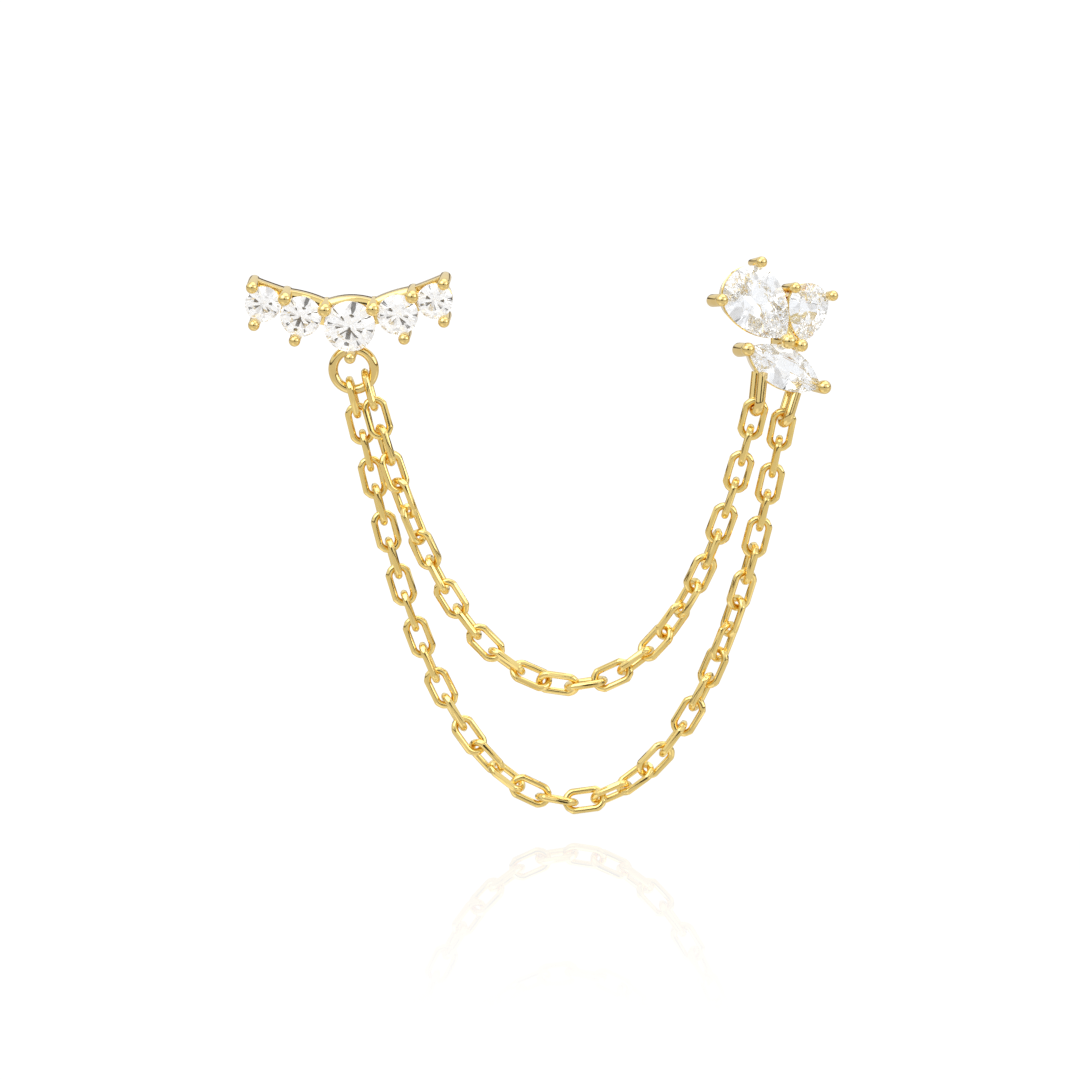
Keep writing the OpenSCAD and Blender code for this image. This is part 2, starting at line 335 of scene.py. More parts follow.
@dataclass
class Tie:
    """A socket's value in a material, which sums and products can be written with."""

    mixer: "Mixer"
    socket: bpy.types.NodeSocket

    def _math(self, operation: str, *values: Any) -> "Tie":
        """Adds one Math node for an operation on values."""
        settings = {"operation": operation}
        return self.mixer.node("Math", settings, dict(enumerate(values)))

    def __add__(self, other: Any) -> "Tie":
        """Sum."""
        return self._math("ADD", self, other)

    def __radd__(self, other: Any) -> "Tie":
        """Sum with a number on the left."""
        return self._math("ADD", other, self)

    def __sub__(self, other: Any) -> "Tie":
        """Difference."""
        return self._math("SUBTRACT", self, other)

    def __rsub__(self, other: Any) -> "Tie":
        """Difference from a number on the left."""
        return self._math("SUBTRACT", other, self)

    def __mul__(self, other: Any) -> "Tie":
        """Product."""
        return self._math("MULTIPLY", self, other)

    def __rmul__(self, other: Any) -> "Tie":
        """Product with a number on the left."""
        return self._math("MULTIPLY", other, self)

    def above(self, level: Any) -> "Tie":
        """One where the value is above a level, zero elsewhere."""
        return self._math("GREATER_THAN", self, level)


class Mixer:
    """One node tree and the ways in which nodes are added to it."""

    def __init__(self, tree: bpy.types.NodeTree) -> None:
        """Takes a node tree and clears it."""
        self.tree = tree
        tree.nodes.clear()

    @classmethod
    def material(cls, name: str) -> tuple[Finish, "Mixer"]:
        """Makes a bare material.

        Args:
            name: Its name.

        Returns:
            The material and the mixer of its nodes.
        """
        made = bpy.data.materials.new(name)
        made.use_nodes = True
        return made, cls(made.node_tree)

    def coat(self, shader: Tie) -> None:
        """Puts a shader on the material's surface."""
        self.node("OutputMaterial", {}, {"Surface": shader})

    def node(
        self, kind: str, settings: dict[str, Any], inputs: dict[Any, Any], out: Any = 0
    ) -> Tie:
        """Adds a node.

        Args:
            kind: The node's type, without the ShaderNode that all types begin with.
            settings: Its properties. "stops" gives a colour ramp's places and colours.
            inputs: Values or ties of its sockets, by name or number.
            out: The output that is returned.

        Returns:
            The chosen output.
        """
        node = self.tree.nodes.new("ShaderNode" + kind)
        for name, value in settings.items():
            if name == "stops":
                stops = node.color_ramp.elements
                while len(stops) < len(value):
                    stops.new(0.5)
                for stop, (place, colour) in zip(stops, value):
                    stop.position, stop.color = place, colour
            else:
                setattr(node, name, value)
        for name, value in inputs.items():
            if isinstance(value, Tie):
                self.tree.links.new(value.socket, node.inputs[name])
            else:
                node.inputs[name].default_value = value
        return Tie(self, node.outputs[out] if node.outputs else None)

    def parts(self, vector: Tie) -> list[Tie]:
        """Takes a vector apart into its three values."""
        apart = self.node("SeparateXYZ", {}, {0: vector}).socket.node
        return [Tie(self, out) for out in apart.outputs]

    def blend(self, share: Any, one: Any, two: Any) -> Tie:
        """Mixes two colours. The share is how much of the second one shows."""
        settings = {"data_type": "RGBA"}
        return self.node("Mix", settings, {0: share, 6: one, 7: two}, 2)

    def ramp(self, value: Tie, places: Point, values: Point) -> Tie:
        """Carries a value from one range to another and holds it at the ends.

        Args:
            value: The value.
            places: The first range.
            values: The second range.

        Returns:
            The carried value.
        """
        names = ("Value", "From Min", "From Max", "To Min", "To Max")
        inputs = dict(zip(names, (value, *places, *values)))
        return self.node("MapRange", {}, inputs)

    def noise(self, size: float, detail: float) -> Tie:
        """Noise in the piece's own place.

        Args:
            size: Size of its patches in millimetres.
            detail: Finer octaves.

        Returns:
            A value between 0 and 1.
        """
        place = self.node("TexCoord", {}, {}, "Object")
        inputs = {"Vector": place, "Scale": 1 / (size * MM), "Detail": detail}
        return self.node("TexNoise", {}, inputs, "Fac")


@dataclass(frozen=True)
class GoldPlate:
    """Polished gold plating, with faint tone patches, softer polish and fine marks."""

    name: str
    tone: Colour
    deep: Colour
    polish: float
    wander: float = 0.05
    patch_size: float = 0.9
    haze_size: float = 0.22
    mark_size: float = 0.05
    mark_depth: float = 0.002
    mark_strength: float = 0.5

    def material(self) -> Finish:
        """Makes the material."""
        made, mixer = Mixer.material(self.name)
        patches = mixer.noise(self.patch_size, 3.0)
        haze = mixer.noise(self.haze_size, 4.0)
        marks = mixer.noise(self.mark_size, 3.0)
        dents = {"Strength": self.mark_strength, "Distance": self.mark_depth * MM, "Height": marks}
        bump = mixer.node("Bump", {}, dents)
        shell = mixer.node(
            "BsdfPrincipled",
            {},
            {
                "Base Color": mixer.blend(patches, self.tone, self.deep),
                "Metallic": 1.0,
                "Roughness": self.polish + self.wander * (haze - 0.5),
                "Normal": bump,
            },
        )
        mixer.coat(shell)
        return made


@dataclass(frozen=True)
class ClearStone:
    """Colourless cut stone, with a breath of tint and polish lines."""

    name: str
    cool: Colour = (0.905, 0.92, 0.935, 1.0)
    warm: Colour = (0.935, 0.92, 0.91, 1.0)
    density: float = 2.15
    haze: float = 0.006
    tint_size: float = 0.5
    rub_size: float = 0.12

    def material(self) -> Finish:
        """Makes the material."""
        made, mixer = Mixer.material(self.name)
        tint = mixer.noise(self.tint_size, 1.0)
        rub = mixer.noise(self.rub_size, 2.0)
        shell = mixer.node(
            "BsdfPrincipled",
            {},
            {
                "Base Color": mixer.blend(tint, self.cool, self.warm),
                "Roughness": self.haze * rub,
                "Transmission Weight": 1.0,
                "IOR": self.density,
            },
        )
        mixer.coat(shell)
        return made


def ride(piece: Piece, finish: Finish, slot: str, *nodes: str) -> Piece:
    """Dresses a piece and ties it to the frame.

    Args:
        piece: The finished object.
        finish: Its material, where it has none yet.
        slot: Not used.
        nodes: The CAD nodes that it stands for.

    Returns:
        The same object.
    """
    if not piece.data.materials:
        piece.data.materials.append(finish)
    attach(piece, BODY)
    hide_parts(*nodes)
    LOG.info("%s: %d faces", piece.name, len(piece.data.polygons))
    return piece


# --- Stones ---


class Cut(Enum):
    """Outlines of the stones."""

    ROUND = "round"
    PEAR = "pear"
    MARQUISE = "marquise"


@dataclass
class Outline:
    """Outline of a stone or collet on the bench plane.

    A pear has its round part's centre at the origin and its tip on +X, a
    marquise has its middle there and its tips on the X axis.
    """

    cut: Cut
    width: float
    length: float
    sides: int = 64

    def reach(self) -> float:
        """Distance from the origin to the +X tip."""
        return self.length - self.width / 2 if self.cut is Cut.PEAR else self.length / 2

    def _arc(self, reach: float, share: float) -> Point:
        """Point on the side arc between the widest place and a tip.

        Args:
            reach: Distance from the widest place to the tip.
            share: 0 at the widest place, 1 at the tip.

        Returns:
            The point.
        """
        half = self.width / 2
        radius = (reach**2 + half**2) / (2 * half)
        angle = share * math.asin(reach / radius)
        return radius * math.sin(angle), radius * math.cos(angle) - (radius - half)

    def point(self, angle: float) -> Point:
        """Point of the outline.

        Args:
            angle: Place round the outline in degrees, from the +X tip.

        Returns:
            The point.
        """
        half = self.width / 2
        turn = (angle + 180) % 360 - 180
        side, level = (1 if turn >= 0 else -1), abs(turn)
        if self.cut is Cut.ROUND or (self.cut is Cut.PEAR and level >= 90):
            return half * math.cos(math.radians(turn)), half * math.sin(math.radians(turn))
        front = level < 90
        x, y = self._arc(self.reach(), abs(90 - level) / 90)
        return (x if front else -x), side * y

    def outward(self, angle: float) -> Vector:
        """Outward direction at a place round the outline, given in degrees."""
        ahead, behind = self.point(angle + 0.5), self.point(angle - 0.5)
        return Vector((ahead[1] - behind[1], behind[0] - ahead[0], 0)).normalized()

    def blank(self, low: float, fill: str = "NGON") -> Piece:
        """Makes the flat outline from a circle, drawing its points out pair by pair.

        Args:
            low: Height of the outline.
            fill: How the circle is filled.

        Returns:
            The outline.
        """
        half = self.width / 2
        bpy.ops.mesh.primitive_circle_add(
            vertices=self.sides, radius=half, fill_type=fill, location=(0, 0, low)
        )
        piece = Hand.settled()
        if self.cut is Cut.ROUND:
            return piece
        both = self.cut is Cut.MARQUISE
        with Hand.editing(piece):
            for step in range(self.sides // 4):
                angle = 360 * step / self.sides
                x, y = self.point(angle)
                old_x = half * math.cos(math.radians(angle))
                old_y = half * math.sin(math.radians(angle))
                Hand.pick(
                    piece,
                    lambda co: abs((abs(co.x) if both else co.x) - old_x) < TOUCH
                    and abs(abs(co.y) - old_y) < TOUCH,
                )
                bpy.ops.transform.resize(
                    value=(x / old_x, y / old_y if old_y > 1e-6 else 1, 1),
                    center_override=(0, 0, low),
                )
        return piece


@dataclass
class Stone:
    """A brilliant-cut stone, drawn with the top of its girdle at height 0.

    Its heights are in half widths. The table, stars and lower facets are shares of
    the way from the middle to the girdle.
    """

    node: str
    outline: Outline
    place: Matrix
    girdle: float = 0.05
    crown: float = 0.28
    pavilion: float = 0.91
    table: float = 0.56
    star: float = 0.76
    lower: float = 0.26
    heart: float = 0.2
    mains: int = 8

    def _plane(self, points: Sequence[Vector]) -> tuple[Vector, Vector]:
        """Plane through three points, facing away from the stone's heart.

        Args:
            points: The three points.

        Returns:
            A point of the plane and its normal.
        """
        a, b, c = points
        normal = (b - a).cross(c - a).normalized()
        heart = Vector((0, 0, -self.heart * self.outline.width / 2))
        return a, normal if normal.dot(a - heart) > 0 else -normal

    def _slope(self, angle: float, height: float, through: Vector) -> tuple[Vector, Vector]:
        """Facet that touches the girdle at one place and runs through a point.

        Args:
            angle: Place round the outline in degrees.
            height: Height of the girdle's edge there.
            through: The inner point.

        Returns:
            A point of the plane and its normal.
        """
        x, y = self.outline.point(angle)
        edge = Vector((x, y, height))
        out = self.outline.outward(angle)
        return self._plane((edge, edge + Vector((-out.y, out.x, 0)), through))

    @staticmethod
    def _meet(one: tuple[Vector, Vector], two: tuple[Vector, Vector], height: float) -> Vector:
        """Point where two facets meet at a height.

        Args:
            one: Point and normal of the first facet.
            two: Point and normal of the second facet.
            height: The height.

        Returns:
            The point.
        """
        rows = np.array([[n.x, n.y] for _, n in (one, two)])
        sums = np.array([n.dot(p) - n.z * height for p, n in (one, two)])
        x, y = np.linalg.solve(rows, sums)
        return Vector((x, y, height))

    def facets(self) -> list[tuple[Vector, Vector]]:
        """Works out the planes of all facets.

        Returns:
            A point and a normal for each facet.
        """
        half = self.outline.width / 2
        top, rim, deep = self.crown * half, -self.girdle * half, -self.pavilion * half
        step = 360 / self.mains
        spread = math.cos(math.pi / self.mains)
        star_height = top * (1 - self.star * spread) / (1 - self.table)
        low_height = rim + (deep - rim) * (1 - self.lower * spread)
        keel = 1 - half / self.outline.reach()
        corners = []
        for k in range(self.mains):
            x, y = self.outline.point(k * step)
            corners.append(Vector((x * self.table, y * self.table, top)))
        crown = [self._slope(k * step, 0, corners[k]) for k in range(self.mains)]
        below = []
        for k in range(self.mains):
            x = self.outline.point(k * step)[0]
            foot = keel * (x if self.outline.cut is Cut.MARQUISE else max(x, 0))
            below.append(self._slope(k * step, rim, Vector((foot, 0, deep))))
        planes = [(Vector((0, 0, top)), Vector((0, 0, 1)))] + crown + below
        for k in range(self.mains):
            after = (k + 1) % self.mains
            high = self._meet(crown[k], crown[after], star_height)
            low = self._meet(below[k], below[after], low_height)
            planes.append(self._plane((corners[k], corners[after], high)))
            for quarter in (0.25, 0.75):
                angle = (k + quarter) * step
                planes.append(self._slope(angle, 0, high))
                planes.append(self._slope(angle, rim, low))
        return planes

    def solid(self) -> Piece:
        """Cuts the stone out of a prism, facet by facet.

        Returns:
            The stone on the bench plane, with the top of its girdle at height 0.
        """
        half = self.outline.width / 2
        blank = self.outline.blank(-half)
        with Hand.editing(blank):
            Hand.raise_rings([(1, -half), (1, half)], Vector())
            bpy.ops.mesh.select_all(action="SELECT")
            bpy.ops.mesh.normals_make_consistent(inside=False)
            for point, normal in self.facets():
                Hand.sliced(point, normal)
        return Hand.heal(blank, 2 * TOUCH)

    def build(self, finish: Finish) -> Piece:
        """Sets the cut stone in the frame.

        Args:
            finish: The stone's material.

        Returns:
            The piece.
        """
        piece = Hand.joined("cut_" + self.node, [Hand.placed(self.solid(), self.place)])
        Hand.take(piece)
        bpy.ops.object.shade_flat()
        return ride(piece, finish, "clear_stone", self.node)

    def cutter(self, gap: float) -> Piece:
        """Makes the shape that seats this stone in its metal.

        Args:
            gap: Space between stone and metal.

        Returns:
            The cutter, on the bench plane under the stone's place.
        """
        half = self.outline.width / 2
        grown = 1 + gap / half
        return Hand.placed(self.solid(), Matrix.Scale(grown, 4))


# --- Settings ---


def faces_inward(face: bmesh.types.BMFace) -> bool:
    """Says whether a face of a collet looks at the collet's axis."""
    return face.normal.xy.dot(face.calc_center_median().xy) < -0.02


@dataclass
class Metalwork:
    """Parts that both settings share: prongs, collets, rods and ear posts."""

    finish: Finish
    # Near-white finish for the faces under the stones: painted light, so the stones look bright.
    painted_light_lining: Finish
    height: float = 2.7
    girdle: float = 1.95
    collet_back: float = 0.3
    collet_front: float = 1.57
    collet_wall: float = 0.3
    gap: float = 0.03
    collet_edge: float = 0.04
    rod: float = 0.16
    rod_height: float = 0.3
    rod_edge: float = 0.03
    rod_short: float = 0.15
    web_height: float = 1.1
    web_depth: float = 1.5
    web_taper: float = 0.8
    post: float = 0.4
    post_length: float = 6.5
    smooth: float = 35
    # The prong's round ends, in degrees, the start of its shank, in radii of its back
    # end, and its neck: width and depth, in bead radii.
    tail_arc: tuple[float, ...] = (8, 22, 38, 54, 70, 84)
    shank_start: float = 1.05
    bead_arc: tuple[float, ...] = (12, 26, 40, 54, 68, 82)
    neck: tuple[Ring, ...] = (
        (0.95, 0.80),
        (0.90, 0.62),
        (0.91, 0.50),
        (0.955, 0.30),
        (0.99, 0.14),
        (1.0, 0.0),
    )
    # The post's tip and groove: width, in post radii, and height over the tip.
    post_end: tuple[Ring, ...] = (
        (0.15, 0.0),
        (0.50, 0.04),
        (0.80, 0.14),
        (0.96, 0.30),
        (1.0, 0.50),
        (1.0, 1.10),
        (0.84, 1.22),
        (0.84, 1.42),
        (1.0, 1.54),
    )
    # The post's foot: width, in post radii, and height. The pad: radius and height.
    post_foot: tuple[Ring, ...] = ((1.0, -0.12), (1.12, -0.03), (1.12, 0.30))
    pad: tuple[Ring, ...] = ((0.80, 0.0), (0.85, 0.05), (0.85, 0.36), (0.79, 0.45), (0.65, 0.50))

    def prong(self, at: Point, radius: float, foot: float, back: float = 1) -> Piece:
        """A prong: a round wire whose end is burnished into a bead.

        Args:
            at: Its axis on the bench plane.
            radius: Radius of the bead.
            foot: Height of the prong's domed back end.
            back: Thickness of that end, as a share of the bead's.

        Returns:
            The prong.
        """
        low, bead = radius * back, self.height - radius
        rings = [
            (low * math.sin(a), foot + low * (1 - math.cos(a)))
            for a in map(math.radians, self.tail_arc)
        ]
        rings.append((low, foot + low * self.shank_start))
        rings += [(radius * wide, bead - down * radius) for wide, down in self.neck]
        rings += [
            (radius * math.cos(a), bead + radius * math.sin(a))
            for a in map(math.radians, self.bead_arc)
        ]
        return Hand.turned(at, rings)

    def seat(self, stone: Stone, place: Matrix) -> Piece:
        """Makes the cutter for a stone's seat.

        Args:
            stone: The stone, round its own origin.
            place: The stone's place on the bench plane.

        Returns:
            The cutter.
        """
        cutter = stone.cutter(self.gap)
        # The seat's cut faces take this near-white finish, which is painted light under the stone.
        cutter.data.materials.append(self.painted_light_lining)
        return Hand.placed(cutter, place @ Matrix.Translation((0, 0, self.girdle)))

    def collet(self, outline: Outline, inset: float, share: float, place: Matrix) -> Piece:
        """A collet: the wall that runs round under a stone and narrows to its back.

        Args:
            outline: The stone's outline.
            inset: How far the wall stands inside the outline.
            share: Size of its back, as a share of its front.
            place: The stone's place on the bench plane.

        Returns:
            The collet, with its inner wall in the near-white finish, which is painted light.
        """
        half = outline.width / 2
        out = 1 - inset / half
        inner = 1 - (inset + self.collet_wall) / half
        back, back_inner = out * share, inner * share
        low, high, edge = self.collet_back, self.collet_front, self.collet_edge
        lowest = low + edge
        piece = outline.blank(lowest, "NOTHING")
        with Hand.editing(piece):
            bpy.ops.transform.resize(value=(back, back, 1), center_override=(0, 0, lowest))
            Hand.raise_rings(
                [
                    (back, lowest),
                    (out, high - edge),
                    (out - edge / half, high),
                    (inner + edge / half, high),
                    (inner, high - edge),
                    (back_inner, lowest),
                    (back_inner + edge / half, low),
                    (back - edge / half, low),
                    (back, lowest),
                ],
                Vector(),
            )
        return Hand.placed(self.given_painted_light(Hand.heal(piece), faces_inward), place)

    def dressed(self, parts: list[Piece]) -> list[Piece]:
        """Gives each part that is still bare the gold finish.

        Args:
            parts: The parts of a setting.

        Returns:
            The same parts.
        """
        for part in parts:
            if not part.data.materials:
                part.data.materials.append(self.finish)
        return parts

    def given_painted_light(self, piece: Piece, test: Callable[[bmesh.types.BMFace], bool]) -> Piece:
        """Gives the faces that a stone lies over a near-white finish, painted light that makes the
        stone look bright.

        Args:
            piece: The part.
            test: Says of a face whether it gets the painted light.

        Returns:
            The same object.
        """
        piece.data.materials.append(self.finish)
        piece.data.materials.append(self.painted_light_lining)
        piece.active_material_index = 1
        with Hand.editing(piece):
            bpy.ops.mesh.select_mode(type="FACE")
            mesh = bmesh.from_edit_mesh(piece.data)
            for face in mesh.faces:
                face.select_set(test(face))
            bmesh.update_edit_mesh(piece.data)
            bpy.ops.object.material_slot_assign()
        return piece

    def rod_between(self, start: Point, end: Point) -> Piece:
        """A gallery rod behind the stones.

        Args:
            start: One end on the bench plane.
            end: The other end.

        Returns:
            The rod.
        """
        near, far = Vector((*start, self.rod_height)), Vector((*end, self.rod_height))
        run = far - near
        bpy.ops.mesh.primitive_cylinder_add(
            vertices=24,
            radius=self.rod,
            depth=run.length,
            location=(near + far) / 2,
            rotation=(math.pi / 2, 0, math.atan2(run.y, run.x) + math.pi / 2),
        )
        return Hand.bevelled(Hand.settled(), self.rod_edge)

    def rod_past(self, start: Point, stone: Point, width: float, share: float) -> Piece:
        """A gallery rod that runs on past a stone's middle, to the foot of its collet.

        Args:
            start: The rod's first end on the bench plane.
            stone: The stone's middle.
            width: Width of the stone.
            share: Size of the collet's back, as a share of its front.

        Returns:
            The rod.
        """
        run = Vector((stone[0] - start[0], stone[1] - start[1], 0))
        reach = run.length + (width / 2 - self.rod_short) * share
        far = Vector((*start, 0)) + run.normalized() * reach
        return self.rod_between(start, (far.x, far.y))

    def web(self, prong: Point, foot: Point, thick: float) -> Piece:
        """A web of metal between two stones, from a prong downwards.

        Args:
            prong: The prong's axis.
            foot: The lower end of the web.
            thick: Thickness at the prong.

        Returns:
            The web.
        """
        near, far = Vector((*prong, self.web_height)), Vector((*foot, self.web_height))
        run, middle = far - near, (near + far) / 2
        bpy.ops.mesh.primitive_cube_add(size=1, location=middle)
        piece = bpy.context.object
        piece.scale = (run.length, thick, self.web_depth)
        piece.rotation_euler = (0, 0, math.atan2(run.y, run.x))
        Hand.settled()
        with Hand.editing(piece):
            Hand.pick(piece, lambda co: (co - middle).dot(run) > 0)
            low = self.web_height - self.web_depth / 2
            bpy.ops.transform.resize(value=(1, 1, self.web_taper), center_override=(*foot, low))
        return Hand.bevelled(piece, self.rod_edge)

    def ear_post(self, at: Point) -> list[Piece]:
        """An ear post with a groove for the ear nut, and the pad that it stands on.

        Args:
            at: Its axis on the bench plane.

        Returns:
            The post and the pad, whose front gets the near-white painted light.
        """
        rings = [(wide * self.post, up - self.post_length) for wide, up in self.post_end]
        rings += [(wide * self.post, up) for wide, up in self.post_foot]
        plate = self.given_painted_light(Hand.turned(at, self.pad, 64), lambda face: face.normal.z > 0.9)
        return [Hand.turned(at, rings), plate]

    def seated(self, parts: list[Piece], seats: list[Piece]) -> list[Piece]:
        """Cuts the stones' seats into the parts of a setting.

        Args:
            parts: The parts.
            seats: The cutters, which are used up.

        Returns:
            The same parts.
        """
        for part in self.dressed(parts):
            Hand.carved(part, seats)
        Hand.drop(*seats)
        return parts

    def soldered(self, name: str, node: str, parts: list[Piece]) -> Piece:
        """Joins a setting's parts into one piece.

        Args:
            name: The piece's name.
            node: The CAD node that it stands for.
            parts: The parts, in the frame.

        Returns:
            The piece.
        """
        piece = Hand.joined(name, self.dressed(parts))
        return ride(Hand.smoothed(piece, self.smooth), self.finish, "gold", node)


@dataclass
class BarStud:
    """The bar: five round stones on a curve, with a jump ring under the middle one."""

    metal: Metalwork
    rise: float = 0.68
    roll: float = 1.6
    ring_radius: float = 1.0
    ring_wire: float = 0.24
    ring_at: Point = (0.12, -1.67)
    ring_depth: float = 0.8
    seam_half: float = 0.05
    seam_swell: float = 1.06
    # x, y and diameter of each stone, and x, y and bead radius of each prong.
    stones: tuple[Spot, ...] = (
        (-4.19, 1.19, 1.75),
        (-2.36, 0.54, 2.00),
        (0.00, 0.00, 2.50),
        (2.36, 0.54, 2.00),
        (4.19, 1.19, 1.75),
    )
    top_prongs: tuple[Spot, ...] = (
        (1.175, 0.913, 0.34),
        (3.100, 1.500, 0.34),
        (4.660, 2.100, 0.30),
    )
    low_prongs: tuple[Spot, ...] = (
        (2.670, -0.570, 0.285),
        (4.630, 0.240, 0.285),
    )
    foot_prong: Spot = (0.0, -1.47, 0.285)
    # Prong, foot and thickness of each web on the right half.
    webs: tuple[tuple[Point, Point, float], ...] = (
        ((1.175, 0.913), (1.36, 0.02), 0.26),
        ((3.10, 1.50), (3.36, 0.62), 0.12),
    )
    prong_foot: float = 0.4
    collet_share: float = 0.87
    collet_inset: float = 0.015
    rail_lift: float = 0.12
    rail_drop: float = 0.09
    middle_drop: float = 0.01
    rail_span: Point = (0.80, 1.62)
    rail_depth: float = 0.30
    rail_slope: float = 0.14
    rail_edge: float = 0.028
    boss_radius: float = 0.34
    boss_edge: float = 0.06
    boss_half: float = 0.24
    stone_turn: float = 11

    def stood(self) -> Matrix:
        """From the bench plane to the frame, without the bar's roll."""
        return Matrix.Scale(MM, 4) @ Matrix.Rotation(math.pi / 2, 4, "X")

    def place(self) -> Matrix:
        """From the bar's bench plane to the frame."""
        return (
            self.stood()
            @ Matrix.Translation((0, self.rise, 0))
            @ Matrix.Rotation(math.radians(self.roll), 4, "Z")
        )

    def cut_stones(self) -> list[Stone]:
        """The five stones, each at its place."""
        made = []
        for number, (x, y, size) in enumerate(self.stones, 1):
            place = self.place() @ Matrix.Translation((x, y, self.metal.girdle))
            turn = Matrix.Rotation(math.radians(self.stone_turn * number), 4, "Z")
            outline = Outline(Cut.ROUND, size, size)
            made.append(Stone(f"bar_stone_{number}", outline, place @ turn))
        return made

    def rail(self, stone: Spot, ends: Sequence[Point]) -> Piece:
        """A rail behind a stone's upper edge, spun from prong to prong.

        Args:
            stone: Centre and diameter of the stone.
            ends: The two prongs it runs between, left one first.

        Returns:
            The rail.
        """
        left, right = (Vector((x, y, 0)) for x, y in ends)
        chord = right - left
        up = Vector((-chord.y, chord.x, 0)).normalized()
        left, right = left + up * self.rail_lift, right + up * self.rail_lift
        drop = self.rail_drop if stone[0] else self.middle_drop
        crest = Vector((stone[0], stone[1], 0)) + up * (stone[2] / 2 - drop)
        middle = (left + right) / 2
        sag = (crest - middle).dot(up)
        radius = (chord.length**2 / 4 + sag**2) / (2 * sag)
        centre = middle + up * (sag - radius)
        sweep = 2 * math.asin(min(1, chord.length / 2 / radius))
        out = (left - centre).normalized()
        low, high = self.rail_span
        half_way = (low + high) / 2
        bpy.ops.mesh.primitive_plane_add(size=1, location=(0, 0, 0))
        piece = bpy.context.object
        across = (*(out * self.rail_depth), 0)
        columns = (across, (0, 0, high - low, 0), (0, 0, 0, 0), (*left.xy, half_way, 1))
        piece.data.transform(Matrix(columns).transposed())
        with Hand.editing(piece):
            Hand.pick(piece, lambda co: co.z > half_way and (co - left).dot(out) > 0)
            bpy.ops.transform.translate(value=(0, 0, -self.rail_slope))
            bpy.ops.mesh.select_all(action="SELECT")
            bpy.ops.mesh.spin(
                steps=24, angle=sweep, center=centre, axis=(0, 0, 1), use_auto_merge=False
            )
        return Hand.bevelled(Hand.heal(piece), self.rail_edge)

    def jump_ring(self) -> Piece:
        """The jump ring under the bar, with its soldered seam."""
        x, y = self.ring_at
        bpy.ops.mesh.primitive_torus_add(
            major_segments=72,
            minor_segments=24,
            major_radius=self.ring_radius,
            minor_radius=self.ring_wire,
            location=(x, y, self.ring_depth),
        )
        piece = Hand.settled()
        with Hand.editing(piece):
            Hand.pick(piece, lambda co: co.y > y and abs(co.x - x) < self.seam_half)
            bpy.ops.transform.resize(
                value=(1, self.seam_swell, self.seam_swell),
                center_override=(x, y + self.ring_radius, self.ring_depth),
            )
        return Hand.heal(piece)

    def boss(self, at: Point) -> Piece:
        """A boss where two gallery rods meet.

        Args:
            at: Its axis on the bench plane.

        Returns:
            The boss.
        """
        low, high = (self.metal.rod_height + up for up in (-self.boss_half, self.boss_half))
        wide, edge = self.boss_radius, self.boss_edge
        rings = [(wide - edge, low), (wide, low + edge), (wide, high - edge), (wide - edge, high)]
        return Hand.turned(at, rings, 32)

    def front(self) -> list[Piece]:
        """Makes the collets, prongs, rails and webs, and cuts the stones' seats into them.

        Returns:
            The parts.
        """
        metal, seats, parts = self.metal, [], []
        for x, y, size in self.stones:
            outline, place = Outline(Cut.ROUND, size, size), Matrix.Translation((x, y, 0))
            seats.append(metal.seat(Stone("seat", outline, Matrix()), place))
            parts.append(metal.collet(outline, self.collet_inset, self.collet_share, place))
        for x, y, radius in self.top_prongs + self.low_prongs:
            parts += [metal.prong((side * x, y), radius, self.prong_foot) for side in (-1, 1)]
        parts.append(metal.prong(self.foot_prong[:2], self.foot_prong[2], self.prong_foot))
        tops = [(-x, y) for x, y, _ in reversed(self.top_prongs)]
        tops += [(x, y) for x, y, _ in self.top_prongs]
        for number, stone in enumerate(self.stones):
            parts.append(self.rail(stone, tops[number : number + 2]))
        for side in (-1, 1):
            for (x, y), (end_x, end_y), thick in self.webs:
                parts.append(metal.web((side * x, y), (side * end_x, end_y), thick))
        return metal.seated(parts, seats)

    def build(self) -> Piece:
        """Makes the bar's metal.

        Returns:
            The piece.
        """
        metal, parts = self.metal, self.front()
        for side in (-1, 1):
            middle, near, end = (self.stones[2 + side * k] for k in range(3))
            parts.append(metal.rod_between(middle[:2], near[:2]))
            parts.append(metal.rod_past(near[:2], end[:2], end[2], self.collet_share))
            parts.append(self.boss(near[:2]))
        parts.append(self.boss((0, 0)))
        placed = [Hand.placed(part, self.place()) for part in parts]
        stood = metal.ear_post((0, 0)) + [self.jump_ring()]
        placed += [Hand.placed(part, self.stood()) for part in stood]
        return metal.soldered("bar_metal", "bar_setting", placed)


